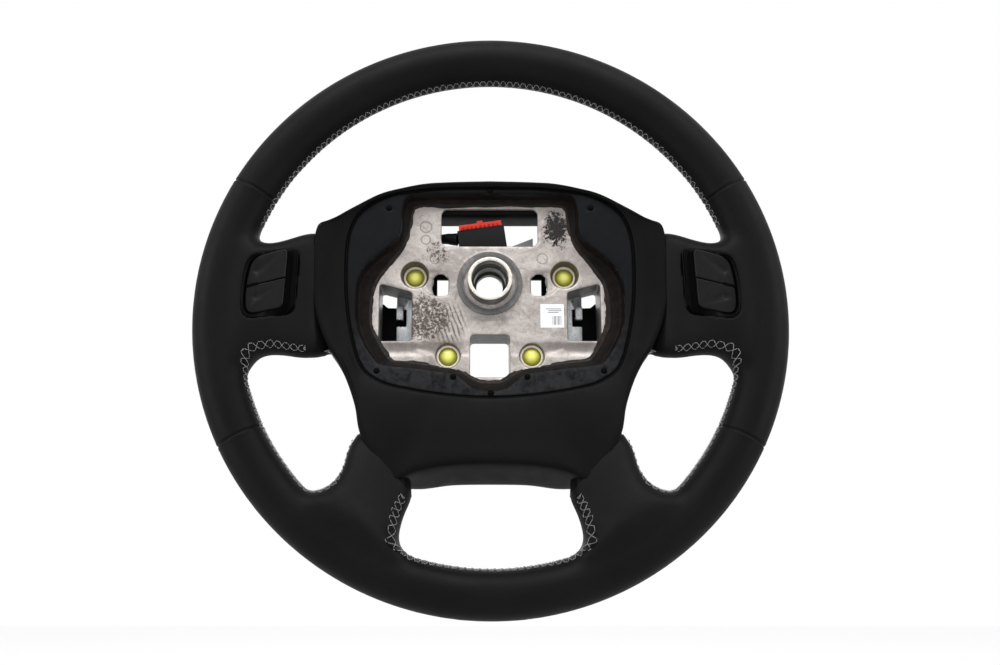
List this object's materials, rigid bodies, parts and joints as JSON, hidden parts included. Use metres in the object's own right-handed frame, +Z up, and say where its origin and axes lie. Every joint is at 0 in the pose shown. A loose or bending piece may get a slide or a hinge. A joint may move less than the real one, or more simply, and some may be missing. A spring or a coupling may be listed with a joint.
{
  "type": "car steering wheel",
  "caption": "Leather-covered car steering wheel with its centre pad off: cast frame, steel hub sleeve, foam hub shroud, thumb switch pods and the switch lead.",
  "frame": {"origin": "on the hub bore's axis, at the rear face of the steel hub sleeve", "axes": "+X to the driver's right, +Y forwards away from the driver along the steering shaft, +Z up; the wheel stands upright and its driver's side faces -Y"},
  "size_m": [0.39, 0.0772, 0.39],
  "materials": {
    "cast_frame": "as cast, blotched with foam and release agent",
    "hub_steel": "turned, plated",
    "core_steel": "drawn tube, unfinished",
    "core_foam": "moulded polyurethane foam",
    "shroud_foam": "moulded polyurethane foam with a fine grained skin",
    "leather": "satin, fine grain",
    "thread": "twisted polyester",
    "bezel": "satin",
    "button": "satin",
    "housing": "moulded",
    "board": "glass-fibre board",
    "dome_mat": "silicone",
    "guide_sleeve": "natural nylon",
    "guide_plug": "moulded",
    "clip_steel": "sprung strip",
    "lead": "cloth tape over wires",
    "connector": "moulded",
    "lock": "moulded",
    "tag": "film",
    "label": "plain white"
  },
  "bodies": {
    "wheel": {"armature": "cast_frame", "hub_sleeve": "hub_steel", "rim_foam": "core_foam", "hub_shroud": "shroud_foam", "leather_top": "leather", "leather_left": "leather", "leather_right": "leather", "leather_bottom": "leather", "stitching_top": "thread", "stitching_left": "thread", "stitching_right": "thread", "stitching_bottom": "thread", "switch_bezel_left": "bezel", "switch_bezel_right": "bezel", "switch_housing_left": "housing", "switch_housing_right": "housing", "switch_board_left": "board", "switch_board_right": "board", "dome_mat_left": "dome_mat", "dome_mat_right": "dome_mat", "guide_sleeve_upper_left": "guide_sleeve", "guide_sleeve_upper_right": "guide_sleeve", "guide_sleeve_lower_left": "guide_sleeve", "guide_sleeve_lower_right": "guide_sleeve", "guide_plug_upper_left": "guide_plug", "guide_plug_upper_right": "guide_plug", "guide_plug_lower_left": "guide_plug", "guide_plug_lower_right": "guide_plug", "latch_clip_left": "clip_steel", "latch_clip_right": "clip_steel", "switch_lead_left": "lead", "switch_lead_right": "lead", "connector_housing": "connector", "connector_lock": "lock", "lead_tag": "tag", "paper_label": "label", "rim_core": "core_steel"},
    "button_upper_left": {"button_upper_left": "button"},
    "button_lower_left": {"button_lower_left": "button"},
    "button_upper_right": {"button_upper_right": "button"},
    "button_lower_right": {"button_lower_right": "button"}
  },
  "joints": [
    {"name": "button_upper_left_press", "type": "slide", "parent": "wheel", "child": "button_upper_left", "axis": [0, 1, 0], "range_m": [0, 0.0012], "stiffness_N_per_m": 1500, "springref_m": -0.0008},
    {"name": "button_lower_left_press", "type": "slide", "parent": "wheel", "child": "button_lower_left", "axis": [0, 1, 0], "range_m": [0, 0.0012], "stiffness_N_per_m": 1500, "springref_m": -0.0008},
    {"name": "button_upper_right_press", "type": "slide", "parent": "wheel", "child": "button_upper_right", "axis": [0, 1, 0], "range_m": [0, 0.0012], "stiffness_N_per_m": 1500, "springref_m": -0.0008},
    {"name": "button_lower_right_press", "type": "slide", "parent": "wheel", "child": "button_lower_right", "axis": [0, 1, 0], "range_m": [0, 0.0012], "stiffness_N_per_m": 1500, "springref_m": -0.0008}
  ]
}
